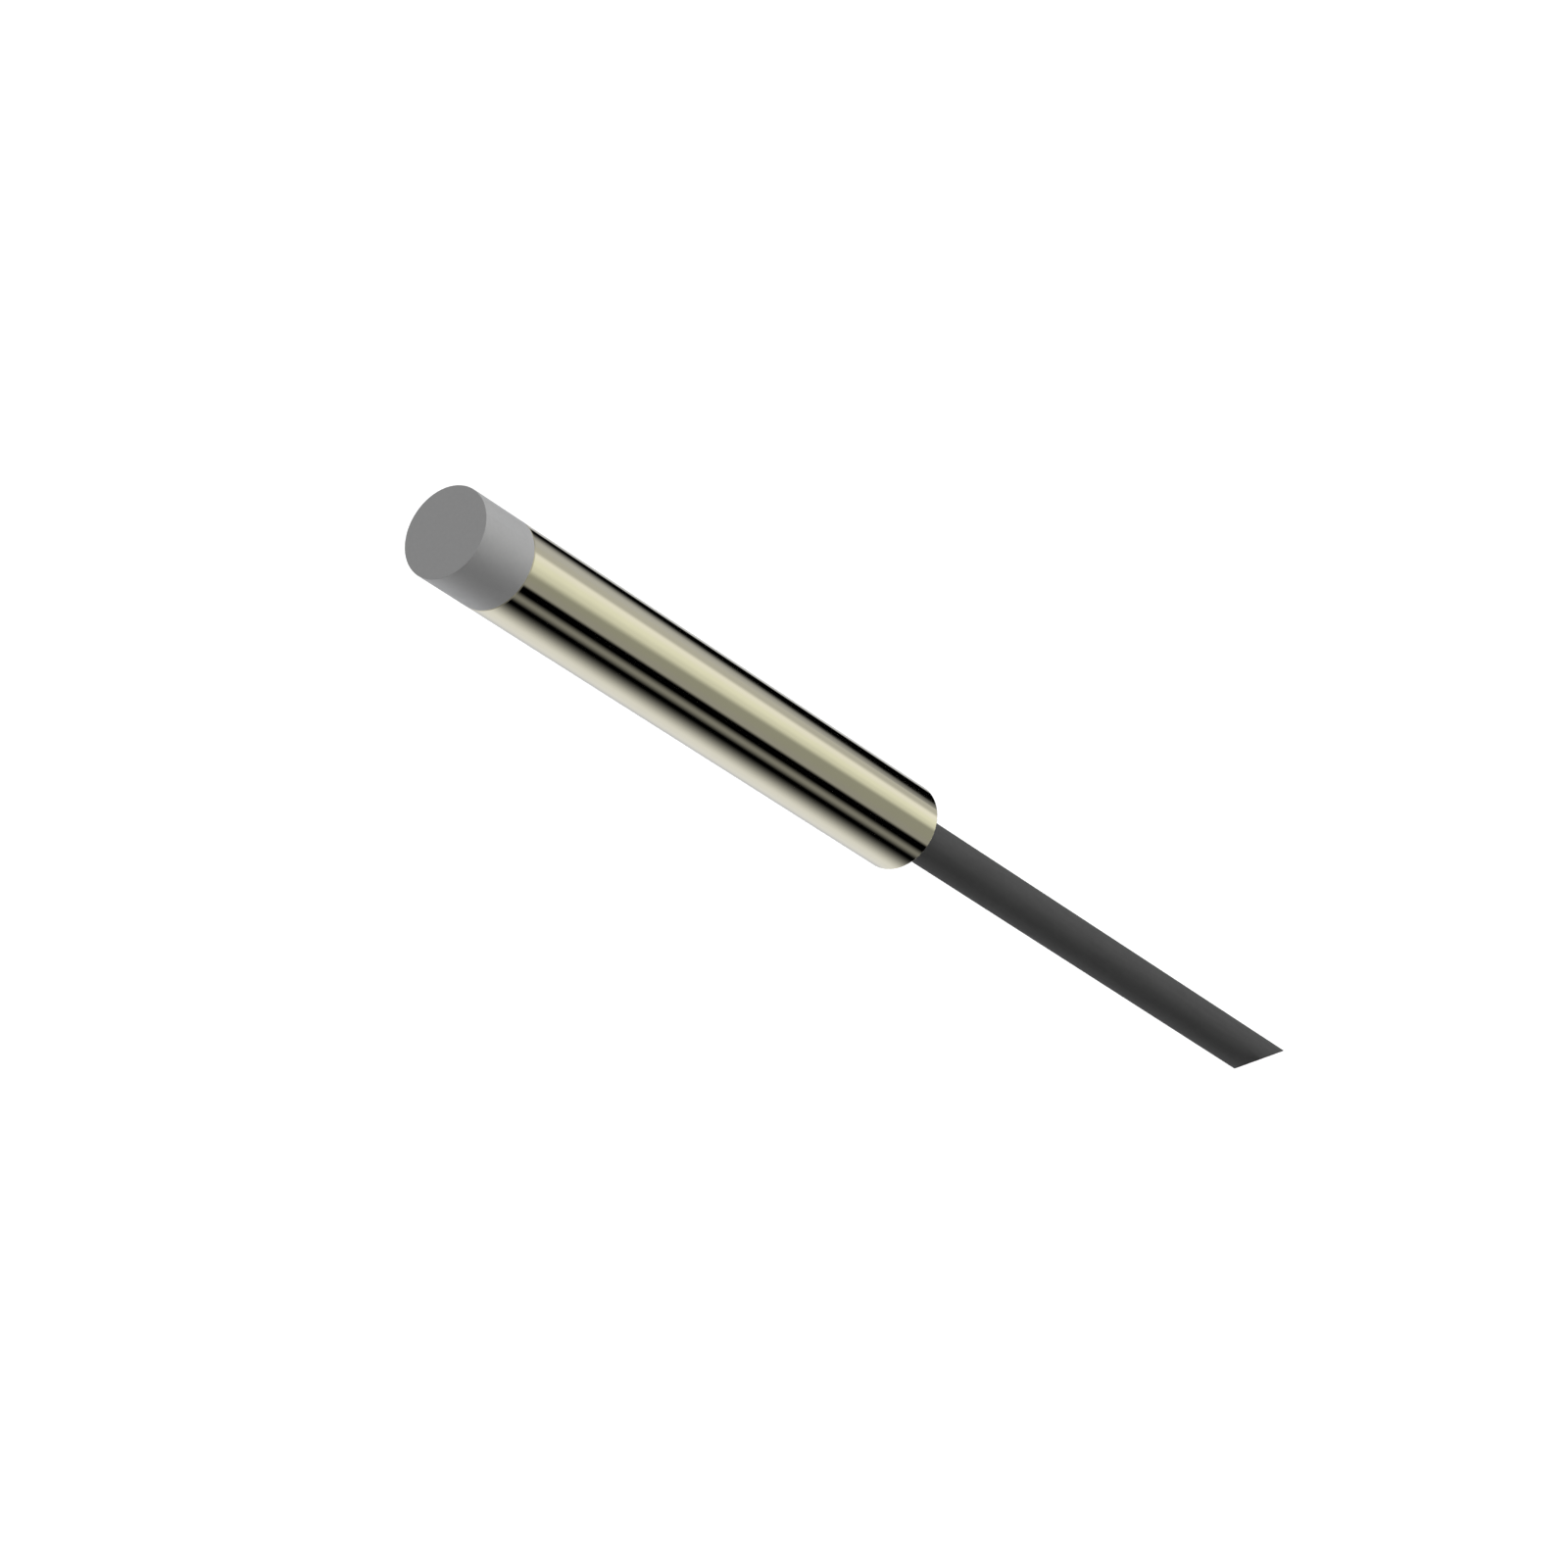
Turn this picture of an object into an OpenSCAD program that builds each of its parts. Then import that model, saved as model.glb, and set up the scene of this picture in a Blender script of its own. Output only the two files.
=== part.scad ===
// Inductive proximity sensor: a smooth plated barrel with a plastic sensing cap and a cable.
// All sizes are in millimetres. The barrel stands on the Z axis with its sensing face up.
// The origin is the middle of the barrel, where a clamp block grips it.

/* [Barrel] */
// Outer diameter of the barrel and of the sensing cap
barrel_d = 8; // [7.6:0.1:9]
// Length of the metal barrel
barrel_length = 58.2; // [56:0.2:72]
// Side wall of the barrel
barrel_wall = 0.55; // [0.45:0.05:0.6]
// Wall that closes the rear end
rear_wall = 1.6; // [1:0.1:2.4]
// Radius round the rear rim
rim_round = 0.1; // [0.05:0.05:0.3]
// Bevel on the outside of the front rim, where the cap meets the barrel
front_bevel = 0.15; // [0.05:0.05:0.2]
// Bevel at the mouth of the bore
mouth_bevel = 0.15; // [0.05:0.05:0.2]

/* [Sensing cap] */
// How far the cap stands out of the barrel
cap_length = 6.2; // [5.2:0.1:8]
// Radius round the rim of the sensing face
cap_round = 0.05; // [0.03:0.01:0.3]
// Wall in front of the coil
cap_face_wall = 0.6; // [0.4:0.1:1]
// Length of the spigot that is pushed into the barrel
spigot_length = 3.2; // [2.6:0.1:4]
// Depth from the barrel's front rim to the middle of the snap bead
bead_depth = 1.5; // [1.2:0.1:1.8]
// Height of the snap bead on the spigot
bead_height = 0.12; // [0.06:0.02:0.2]
// Width of the snap bead
bead_width = 0.8; // [0.5:0.1:1]

/* [Pot core and coil] */
// Outer diameter of the ferrite pot core
core_d = 5.8; // [5.2:0.1:6]
// Height of the pot core
core_height = 3.4; // [3:0.1:4]
// Floor of the pot core
core_floor = 1; // [0.7:0.1:1.3]
// Wall of the core's outer ring
core_rim = 0.55; // [0.4:0.05:0.7]
// Diameter of the centre post
post_d = 2.2; // [1.8:0.1:2.4]
// Width of the two notches that let the coil's ends out
notch_w = 0.6; // [0.4:0.1:0.8]
// Wall of the bobbin's hub and flanges
bobbin_wall = 0.16; // [0.12:0.02:0.2]
// Diameter of the enamelled wire
wire_d = 0.16; // [0.12:0.02:0.2]
// Layers of wire on the bobbin
wire_layers = 4; // [3:1:5]

/* [Core holder] */
// Thickness of the disc under the pot core
holder_disc = 0.8; // [0.6:0.1:1.2]
// Length of the jaws that hold the circuit board
jaw_length = 2.6; // [2:0.1:3]
// Thickness of each jaw
jaw_t = 0.6; // [0.4:0.1:0.8]

/* [Circuit board] */
// Length of the circuit board with its tongue
board_length = 40; // [37:0.5:43]
// Width of the circuit board
board_w = 5.4; // [5:0.1:5.6]
// Thickness of the circuit board
board_t = 0.6; // [0.4:0.1:0.8]
// Width of the tongue that sits in the core holder
tongue_w = 3; // [2.6:0.1:3.4]
// Wall of the insulating sleeve round the circuit board
sleeve_wall = 0.12; // [0.08:0.02:0.2]

/* [Cable] */
// Outer diameter of the cable
cable_d = 4; // [3.8:0.1:4.4]
// Tilt of the cut at the cable's free end, from square
cut_angle = 62; // [0:1:64]
// Outer diameter of each insulated wire in the cable
lead_d = 1.25; // [1:0.05:1.3]
// Diameter of each stranded conductor
strand_d = 0.65; // [0.4:0.05:0.7]

/* [Cable entry] */
// Length of the rubber seal behind the rear wall
seal_length = 3; // [2:0.2:4]
// Length of the crimped sleeve that holds the cable
crimp_length = 3; // [2.4:0.1:4]
// Wall of the crimped sleeve
crimp_wall = 0.5; // [0.35:0.05:0.7]
// Thickness of the crimped sleeve's flange
crimp_flange = 0.5; // [0.3:0.05:0.8]
// Length of sheath left between the crimped sleeve and its stripped end
sheath_tail = 1.2; // [0.8:0.1:2]

/* [Clearances] */
// Gap at each side of a pressed or potted piece
press_gap = 0.02; // [0.01:0.01:0.04]
// Gap at each side of a piece that drops into its seat
seat_gap = 0.05; // [0.03:0.01:0.08]

/* [Hidden] */
$fn = 96;
overcut = 1;

// Radii of the turned parts
barrel_r = barrel_d / 2;
bore_r = barrel_r - barrel_wall;
cable_r = cable_d / 2;
spigot_r = bore_r - press_gap;
cavity_r = core_d / 2 + seat_gap;

// Heights along the axis, from the sensing face down
front_z = barrel_length / 2;
rear_z = -barrel_length / 2;
face_z = front_z + cap_length;
core_top_z = face_z - cap_face_wall - seat_gap;
core_bottom_z = core_top_z - core_height;
disc_bottom_z = core_bottom_z - holder_disc;
jaw_bottom_z = disc_bottom_z - jaw_length;
spigot_z = front_z - spigot_length;
shoulder_z = spigot_z - seat_gap;
board_top_z = disc_bottom_z - seat_gap;
board_rear_z = board_top_z - board_length;

// Heights at the cable entry, from the rear wall up
seal_z = rear_z + rear_wall;
crimp_z = seal_z + seal_length;
crimp_top_z = crimp_z + crimp_length;
sheath_z = crimp_top_z + sheath_tail;

// The coil's window between the bobbin's flanges
hub_r = post_d / 2 + seat_gap + bobbin_wall;
flange_r = core_d / 2 - core_rim - seat_gap;
bobbin_z = core_bottom_z + core_floor + seat_gap;
bobbin_height = core_height - core_floor - 2 * seat_gap;
winding_window = bobbin_height - 2 * bobbin_wall - 2 * press_gap;
turns = floor(winding_window / wire_d);
winding_r = hub_r + press_gap + wire_layers * wire_d;

// The coil's two ends run down through notches in front of the board
notch_angle = 20;
notch_r = core_d / 2 - core_rim / 2;
notch_x = notch_r * cos(notch_angle);
notch_y = -notch_r * sin(notch_angle);
coil_pad_inset = 0.5;
coil_pad_x = board_w / 2 - coil_pad_inset;
coil_pad_depth = 1.6;
coil_pad_length = 0.6;
coil_solder_r = 0.34;
enamel = 0.01;
bare_d = wire_d - 2 * enamel;

// Cable wires: three in a triangle in the sheath, then two in front of the board and one behind
lead_gap = 0.05;
triangle_r = (lead_d + lead_gap) / sqrt(3);
lead_pad_x = 1.6;
strand_overlap = 2.2;
strand_bare = 0.4;
straight_run = 2.4;
lead_sides = 12;
lead_rings = 10;
cable_solder_r = 0.8;

// Route of the free cable from the middle of the rear wall's outer face
cable_sides = 12;
cable_route = [
    [0, 0, 0], [0, 0, -10], [0, 0, -20], [0, 0, -30], [0, 0, -40], [0, 0, -50], [0, 0, -62.8]
];

// Places of the chips: side of the board (-1 front, 1 back), x, and distance below the shoulder
ic_place = [-1, 0, 7];
transistor_place = [1, 0, 25.5];
diode_place = [1, 0, 20.5];
tantalum_place = [1, 0, 14];
capacitor_places = [[-1, 0, 3], [1, 0, 5], [1, 0, 8.5]];
resistor_places = [[-1, -1.2, 12], [-1, 1.2, 12], [-1, -1.2, 16], [-1, 1.2, 16]];

function unit(v) = v / norm(v);

// A gentle S from point a to point b in steps, without its first point
function s_curve(a, b, steps) = [
    for (i = [1 : steps])
        let (s = i / steps, w = s * s * (3 - 2 * s))
            [a.x + (b.x - a.x) * w, a.y + (b.y - a.y) * w, a.z + (b.z - a.z) * s]
];

// Direction of a route at its point i
function direction(route, i) =
    unit(route[min(i + 1, len(route) - 1)] - route[max(i - 1, 0)]);

// Corners of a round section at a route's point i
function ring(route, i, r, sides) =
    let (
        along = direction(route, i),
        across = unit(cross([0, 1, 0], along)),
        up = cross(along, across)
    ) [
        for (k = [0 : sides - 1])
            let (a = 360 * (k + 0.5) / sides)
                route[i] + r * cos(a) * across + r * sin(a) * up
    ];

// Two triangles for each side of a swept tube between its rings, seen from outside
function tube_skin(rings, sides, first = 0) = [
    for (i = [0 : rings - 2], k = [0 : sides - 1], half = [0, 1])
        let (
            a = first + i * sides + k,
            b = first + i * sides + (k + 1) % sides
        ) half == 0 ? [a, a + sides, b + sides] : [a, b + sides, b]
];

function turned_round(faces) = [for (f = faces) [for (i = [len(f) - 1 : -1 : 0]) f[i]]];

// Solid round rod along a route; tilt slants its last ring as an oblique cut would
module swept_rod(route, r, sides, tilt = 0) {
    rings = len(route);
    last = rings - 1;
    points = [
        for (i = [0 : last], p = ring(route, i, r, sides))
            i == last ? p - [0, 0, tan(tilt) * (p.y - route[i].y)] : p
    ];
    start_cap = [[for (k = [0 : sides - 1]) k]];
    end_cap = [[for (k = [sides - 1 : -1 : 0]) last * sides + k]];
    polyhedron(points, concat(tube_skin(rings, sides), start_cap, end_cap), convexity = 4);
}

// Hollow round tube along a route
module swept_tube(route, outer_r, inner_r, sides) {
    rings = len(route);
    inside = rings * sides;
    last = (rings - 1) * sides;
    points = concat(
        [for (i = [0 : rings - 1], p = ring(route, i, outer_r, sides)) p],
        [for (i = [0 : rings - 1], p = ring(route, i, inner_r, sides)) p]
    );
    start_rim = [
        for (k = [0 : sides - 1])
            let (n = (k + 1) % sides) [k, n, inside + n, inside + k]
    ];
    end_rim = [
        for (k = [0 : sides - 1])
            let (n = (k + 1) % sides)
                [last + n, last + k, inside + last + k, inside + last + n]
    ];
    polyhedron(
        points,
        concat(
            tube_skin(rings, sides),
            turned_round(tube_skin(rings, sides, inside)),
            start_rim,
            end_rim
        ),
        convexity = 6
    );
}

// Straight round wire between two points, run on at both ends so that bends close
module wire(a, b, d) {
    v = b - a;
    translate(a)
        rotate([0, acos(v.z / norm(v)), atan2(v.y, v.x)])
            translate([0, 0, -d / 2])
                cylinder(h = norm(v) + d, d = d, $fn = 24);
}

// Ring between two heights
module ring_solid(outer_r, inner_r, low_z, high_z) {
    translate([0, 0, low_z])
        difference() {
            cylinder(h = high_z - low_z, r = outer_r);
            translate([0, 0, -overcut])
                cylinder(h = high_z - low_z + 2 * overcut, r = inner_r);
        }
}

// Notches at the two sides where the coil's ends pass
module coil_notches(low_z, high_z) {
    for (side = [-1, 1])
        rotate([0, 0, -90 + side * (90 - notch_angle)])
            translate([core_d / 2 - core_rim, -notch_w / 2, low_z])
                cube([core_rim + overcut, notch_w, high_z - low_z]);
}

// Puts a chip on the board: its own Z stands up from the board's face
module on_board(place) {
    translate([place[1], place[0] * board_t / 2, shoulder_z - place[2]])
        rotate([90, 0, place[0] > 0 ? 180 : 0])
            children();
}

// Middle of a box stands on the plane Z = low
module block(size, low = 0) {
    translate([-size.x / 2, -size.y / 2, low])
        cube(size);
}

// Snap groove and bead share this outline: radius at the foot, height, width and place
module bead_outline(foot_r, height, width) {
    translate([foot_r, front_z - bead_depth])
        polygon([
            [-overcut / 4, -width / 2], [0, -width / 2], [height, -width / 4],
            [height, width / 4], [0, width / 2], [-overcut / 4, width / 2]
        ]);
}

module barrel() {
    color([0.78, 0.75, 0.64])
        rotate_extrude()
            difference() {
                union() {
                    translate([0, rear_z])
                        square([barrel_r - rim_round, barrel_length - front_bevel]);
                    translate([0, rear_z + rim_round])
                        square([barrel_r, barrel_length - rim_round - front_bevel]);
                    polygon([
                        [0, front_z - front_bevel], [barrel_r, front_z - front_bevel],
                        [barrel_r - front_bevel, front_z], [0, front_z]
                    ]);
                    translate([barrel_r - rim_round, rear_z + rim_round])
                        circle(r = rim_round);
                }
                polygon([
                    [-overcut, rear_z + rear_wall], [bore_r, rear_z + rear_wall],
                    [bore_r, front_z - mouth_bevel], [bore_r + mouth_bevel, front_z],
                    [bore_r + mouth_bevel, front_z + overcut], [-overcut, front_z + overcut]
                ]);
                translate([-overcut, rear_z - overcut])
                    square([cable_r + seat_gap + overcut, rear_wall + 2 * overcut]);
                bead_outline(bore_r, bead_height + press_gap, bead_width + 2 * press_gap);
            }
}

module sensing_cap() {
    color([0.51, 0.51, 0.51])
        rotate_extrude()
            difference() {
                union() {
                    translate([0, front_z]) {
                        square([barrel_r, cap_length - cap_round]);
                        square([barrel_r - cap_round, cap_length]);
                    }
                    translate([barrel_r - cap_round, face_z - cap_round])
                        circle(r = cap_round);
                    translate([0, spigot_z])
                        square([spigot_r, spigot_length + overcut]);
                    bead_outline(spigot_r, bead_height, bead_width);
                }
                translate([-overcut, spigot_z - overcut])
                    square([cavity_r + overcut, core_top_z + seat_gap - spigot_z + overcut]);
            }
}

// Pot core, open to the sensing face, with a centre post
module ferrite_core() {
    color([0.2, 0.2, 0.22])
        difference() {
            translate([0, 0, core_bottom_z])
                cylinder(h = core_height, d = core_d);
            ring_solid(
                core_d / 2 - core_rim, post_d / 2,
                core_bottom_z + core_floor, core_top_z + overcut
            );
            coil_notches(core_bottom_z - overcut, core_top_z + overcut);
        }
}

module coil_bobbin() {
    color([0.93, 0.9, 0.82])
        translate([0, 0, bobbin_z])
            rotate_extrude()
                translate([post_d / 2 + seat_gap, 0]) {
                    square([bobbin_wall, bobbin_height]);
                    square([flange_r - post_d / 2 - seat_gap, bobbin_wall]);
                    translate([0, bobbin_height - bobbin_wall])
                        square([flange_r - post_d / 2 - seat_gap, bobbin_wall]);
                }
}

// Winding with its outer turns showing, and the two ends of the same wire
module coil_winding() {
    inner_r = hub_r + press_gap;
    outer_turn_r = winding_r - wire_d / 2;
    first_turn_z = bobbin_z + (bobbin_height - (turns - 1) * wire_d) / 2;
    filled_r = outer_turn_r + wire_d / 4;
    color([0.72, 0.36, 0.16]) {
        rotate_extrude() {
            translate([inner_r, first_turn_z - wire_d / 4])
                square([filled_r - inner_r, (turns - 1) * wire_d + wire_d / 2]);
            for (i = [0 : turns - 1])
                translate([outer_turn_r, first_turn_z + i * wire_d])
                    circle(d = wire_d, $fn = 24);
        }
        coil_end(-1, outer_turn_r, first_turn_z);
        coil_end(1, outer_turn_r, first_turn_z + (turns - 1) * wire_d);
    }
}

module coil_end(side, turn_r, turn_z) {
    start = [side * turn_r * cos(notch_angle), -turn_r * sin(notch_angle), turn_z];
    bend = [side * notch_x, notch_y, turn_z];
    knee = [side * notch_x, notch_y, shoulder_z - seat_gap];
    pad = [
        side * coil_pad_x, -board_t / 2 - wire_d / 2 - press_gap, shoulder_z - coil_pad_depth
    ];
    wire(start, bend, bare_d);
    wire(bend, knee, bare_d);
    wire(knee, pad, bare_d);
    wire(pad, pad - [0, 0, coil_pad_length], bare_d);
}

// Moulded holder: a disc under the pot core and two jaws on the board's tongue
module core_holder() {
    color([0.16, 0.16, 0.17])
        difference() {
            union() {
                translate([0, 0, disc_bottom_z])
                    cylinder(h = holder_disc, d = core_d);
                jaw_block(0, jaw_bottom_z, disc_bottom_z + holder_disc / 2);
            }
            translate([0, 0, jaw_bottom_z - overcut])
                block([
                    tongue_w + 2 * seat_gap, board_t + 2 * seat_gap, jaw_length + overcut
                ]);
            coil_notches(disc_bottom_z - overcut, core_bottom_z + overcut);
        }
}

// Block round the board's tongue, grown at each side
module jaw_block(grow, low_z, high_z) {
    translate([0, 0, low_z])
        block([
            tongue_w + 2 * seat_gap + 2 * jaw_t + 2 * grow,
            board_t + 2 * seat_gap + 2 * jaw_t + 2 * grow,
            high_z - low_z
        ]);
}

// Resin poured in behind the holder, round its jaws, the board's tongue and the coil's ends
module cap_potting() {
    channel_d = wire_d + 4 * seat_gap;
    color([0.12, 0.13, 0.14])
        difference() {
            translate([0, 0, spigot_z])
                cylinder(h = disc_bottom_z - press_gap - spigot_z, r = cavity_r - press_gap);
            jaw_block(press_gap, jaw_bottom_z - press_gap, disc_bottom_z + overcut);
            translate([0, 0, spigot_z - overcut])
                block([
                    tongue_w + 2 * seat_gap, board_t + 2 * seat_gap,
                    jaw_bottom_z - spigot_z + overcut
                ]);
            for (side = [-1, 1])
                translate([side * notch_x, notch_y, spigot_z - overcut])
                    cylinder(h = disc_bottom_z - spigot_z + 2 * overcut, d = channel_d, $fn = 32);
        }
}

module circuit_board() {
    color([0.1, 0.36, 0.2]) {
        translate([0, 0, board_rear_z])
            block([board_w, board_t, shoulder_z - board_rear_z]);
        translate([0, 0, shoulder_z - overcut])
            block([tongue_w, board_t, board_top_z - shoulder_z + overcut]);
    }
}

// Thin tube that keeps the board away from the metal barrel
module insulating_sleeve() {
    color([0.75, 0.45, 0.1])
        ring_solid(
            bore_r - seat_gap, bore_r - seat_gap - sleeve_wall,
            board_rear_z - seat_gap, spigot_z - 2 * seat_gap
        );
}

// Bent foot of a chip, drawn in its side view and pulled to its width
module gull_foot(reach, height, foot, t, width) {
    rotate([90, 0, 0])
        translate([0, 0, -width / 2])
            linear_extrude(height = width)
                polygon([
                    [-t, height], [reach - foot + t, height], [reach - foot + t, t],
                    [reach, t], [reach, 0], [reach - foot, 0],
                    [reach - foot, height - t], [-t, height - t]
                ]);
}

// Control chip with four feet a side and a dimple at its first foot
module sensor_ic() {
    body = [3, 3, 0.85];
    standoff = 0.1;
    pitch = 0.65;
    dimple_d = 0.5;
    dimple_inset = 0.6;
    dimple_depth = 0.08;
    color([0.1, 0.1, 0.11])
        on_board(ic_place)
            difference() {
                union() {
                    block(body, standoff);
                    for (turn = [0, 180], i = [-1.5 : 1 : 1.5])
                        rotate([0, 0, turn])
                            translate([body.x / 2, i * pitch, 0])
                                gull_foot(
                                    reach = 0.85, height = 0.6, foot = 0.45, t = 0.14,
                                    width = 0.28
                                );
                }
                translate([
                    -body.x / 2 + dimple_inset, body.y / 2 - dimple_inset,
                    standoff + body.z - dimple_depth
                ])
                    cylinder(h = overcut, d = dimple_d, $fn = 32);
            }
}

module transistor_foot() {
    gull_foot(reach = 0.55, height = 0.6, foot = 0.35, t = 0.12, width = 0.42);
}

// Three-footed output transistor
module output_transistor() {
    body = [2.9, 1.3, 1];
    standoff = 0.08;
    pitch = 0.95;
    color([0.11, 0.11, 0.12])
        on_board(transistor_place) {
            block(body, standoff);
            for (x = [-pitch, pitch])
                translate([x, -body.y / 2, 0])
                    rotate([0, 0, -90])
                        transistor_foot();
            translate([0, body.y / 2, 0])
                rotate([0, 0, 90])
                    transistor_foot();
        }
}

// Small diode with a foot at each end and a bar across its top
module protection_diode() {
    body = [1.7, 1.25, 0.95];
    standoff = 0.05;
    bar = [0.25, 1.25, 0.03];
    color([0.12, 0.12, 0.12])
        on_board(diode_place) {
            block(body, standoff);
            translate([-body.x / 4, 0, 0])
                block(bar, standoff + body.z);
            for (turn = [0, 180])
                rotate([0, 0, turn])
                    translate([body.x / 2, 0, 0])
                        gull_foot(
                            reach = 0.4, height = 0.5, foot = 0.28, t = 0.12, width = 0.32
                        );
        }
}

// Moulded tantalum capacitor with a bevelled end that marks its plus side
module filter_capacitor() {
    body = [3.2, 1.6, 1.5];
    tab = [0.8, 1.2, 0.1];
    bevel = 0.35;
    color([0.85, 0.55, 0.12])
        on_board(tantalum_place) {
            rotate([90, 0, 0])
                translate([0, 0, -body.y / 2])
                    linear_extrude(height = body.y)
                        polygon([
                            [-body.x / 2, tab.z], [body.x / 2, tab.z],
                            [body.x / 2, tab.z + body.z - bevel],
                            [body.x / 2 - bevel, tab.z + body.z], [-body.x / 2, tab.z + body.z]
                        ]);
            for (side = [-1, 1])
                translate([side * (body.x / 2 - tab.x / 2 + tab.z), 0, 0])
                    block(tab);
        }
}

// Ceramic body between two metal ends, which stand a little proud
module chip(length, width, height, end) {
    proud = 0.03;
    block([length - end, width - 2 * proud, height - 2 * proud], proud);
    for (side = [-1, 1])
        translate([side * (length - end) / 2, 0, 0])
            block([end, width, height]);
}

module chip_capacitor(number) {
    color([0.72, 0.6, 0.42])
        on_board(capacitor_places[number - 1])
            chip(length = 1.6, width = 0.8, height = 0.8, end = 0.35);
}

module chip_resistor(number) {
    color([0.15, 0.15, 0.16])
        on_board(resistor_places[number - 1])
            chip(length = 1.6, width = 0.8, height = 0.45, end = 0.3);
}

// Rounded solder over a wire that lies along the board; the wire's own channel stays open
module solder_mound(side, x, z, r, wire_r) {
    color([0.75, 0.76, 0.78])
        difference() {
            translate([x, side * board_t / 2, z])
                sphere(r = r);
            translate([x, side * (board_t / 2 - r - overcut / 2), z])
                cube([2 * r + overcut, 2 * r + overcut, 2 * r + overcut], center = true);
            translate([x, side * (board_t / 2 + wire_r), z - r - overcut])
                cylinder(h = 2 * r + 2 * overcut, r = wire_r + press_gap, $fn = 32);
        }
}

module coil_solder(side) {
    mound_z = shoulder_z - coil_pad_depth - coil_pad_length / 2;
    solder_mound(-1, side * coil_pad_x, mound_z, coil_solder_r, wire_d / 2 + press_gap);
}

module cable_solder(side, x) {
    mound_z = board_rear_z + strand_overlap - cable_solder_r;
    solder_mound(side, x, mound_z, cable_solder_r, strand_d / 2);
}

// Route of one cable wire: out of the sheath at an angle, then straight up to the board's edge
function lead_route(angle, x, side) =
    let (
        start = [triangle_r * cos(angle), triangle_r * sin(angle), sheath_z],
        rise = start + [0, 0, lead_d / 2],
        run = [x, side * (board_t / 2 + strand_d / 2 + press_gap), board_rear_z - straight_run],
        end = [run.x, run.y, board_rear_z - strand_bare]
    ) concat([start, rise], s_curve(rise, run, lead_rings), [end]);

brown_route = lead_route(210, -lead_pad_x, -1);
blue_route = lead_route(330, lead_pad_x, -1);
black_route = lead_route(90, 0, 1);

// The insulation of one wire: its colour names it
module insulation(paint, route) {
    color(paint)
        swept_tube(route, lead_d / 2, strand_d / 2 + press_gap, lead_sides);
}

// The strands run out of the insulation and lie on the board's pad
module conductor(route) {
    end = route[len(route) - 1];
    color([0.8, 0.45, 0.25])
        swept_rod(
            concat(route, [[end.x, end.y, board_rear_z + strand_overlap]]),
            strand_d / 2, lead_sides
        );
}

// Rubber seal with two grooves, squeezed between the cable and the bore
module cable_seal() {
    groove_r = 0.25;
    color([0.14, 0.14, 0.14])
        translate([0, 0, seal_z])
            rotate_extrude()
                difference() {
                    translate([cable_r + press_gap, 0])
                        square([bore_r - cable_r - 2 * press_gap, seal_length]);
                    for (share = [1 / 3, 2 / 3])
                        translate([bore_r - press_gap, share * seal_length])
                            circle(r = groove_r, $fn = 32);
                }
}

// Brass sleeve crimped on the sheath, with a flange that rests on the seal
module crimp_sleeve() {
    flange_out = 0.5;
    groove_depth = 0.18;
    groove_w = 0.5;
    groove_step = 0.9;
    top_land = 0.6;
    outer_r = cable_r + press_gap + crimp_wall;
    color([0.78, 0.62, 0.3])
        translate([0, 0, crimp_z])
            rotate_extrude()
                difference() {
                    translate([cable_r + press_gap, 0]) {
                        square([crimp_wall, crimp_length]);
                        square([crimp_wall + flange_out, crimp_flange]);
                    }
                    for (i = [0, 1])
                        translate([outer_r, crimp_length - top_land - i * groove_step])
                            polygon([
                                [-groove_depth, 0], [overcut, -groove_w / 2 - overcut],
                                [overcut, groove_w / 2 + overcut]
                            ]);
                }
}

// Resin that fills the rear of the bore round the crimped sleeve and the sheath
module rear_potting() {
    crimp_r = cable_r + press_gap + crimp_wall;
    flange_top = crimp_z + crimp_flange + press_gap;
    meniscus = 0.3;
    color([0.12, 0.13, 0.14])
        rotate_extrude()
            polygon([
                [crimp_r + press_gap, flange_top], [bore_r - press_gap, flange_top],
                [bore_r - press_gap, sheath_z], [bore_r - press_gap - meniscus, sheath_z - meniscus],
                [cable_r + press_gap, sheath_z - meniscus],
                [cable_r + press_gap, crimp_top_z + press_gap],
                [crimp_r + press_gap, crimp_top_z + press_gap]
            ]);
}

// Cable from its stripped end in the barrel to the slanted cut at its free end
module cable() {
    free_run = [for (p = cable_route) p + [0, 0, rear_z]];
    color([0.2, 0.2, 0.2])
        swept_rod(concat([[0, 0, sheath_z]], free_run), cable_r, cable_sides, cut_angle);
}

barrel();
sensing_cap();
ferrite_core();
coil_bobbin();
coil_winding();
core_holder();
cap_potting();
circuit_board();
insulating_sleeve();
sensor_ic();
output_transistor();
protection_diode();
filter_capacitor();
chip_capacitor(1);  // chip_capacitor_1
chip_capacitor(2);  // chip_capacitor_2
chip_capacitor(3);  // chip_capacitor_3
chip_resistor(1);  // chip_resistor_1
chip_resistor(2);  // chip_resistor_2
chip_resistor(3);  // chip_resistor_3
chip_resistor(4);  // chip_resistor_4
coil_solder(-1);  // coil_solder_1
coil_solder(1);  // coil_solder_2
cable_solder(-1, -lead_pad_x);  // brown_solder
cable_solder(-1, lead_pad_x);  // blue_solder
cable_solder(1, 0);  // black_solder
insulation([0.4, 0.22, 0.1], brown_route);  // brown_insulation
insulation([0.1, 0.2, 0.6], blue_route);  // blue_insulation
insulation([0.08, 0.08, 0.08], black_route);  // black_insulation
conductor(brown_route);  // brown_conductor
conductor(blue_route);  // blue_conductor
conductor(black_route);  // black_conductor
cable_seal();
crimp_sleeve();
rear_potting();
cable();
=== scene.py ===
"""Looks of the inductive proximity sensor: its finishes, its cable with the cut end, the wires in its barrel,
the print on its circuit board, and a pale studio round it."""

import math

import bmesh
import bpy
from mathutils import Matrix, Vector


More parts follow.
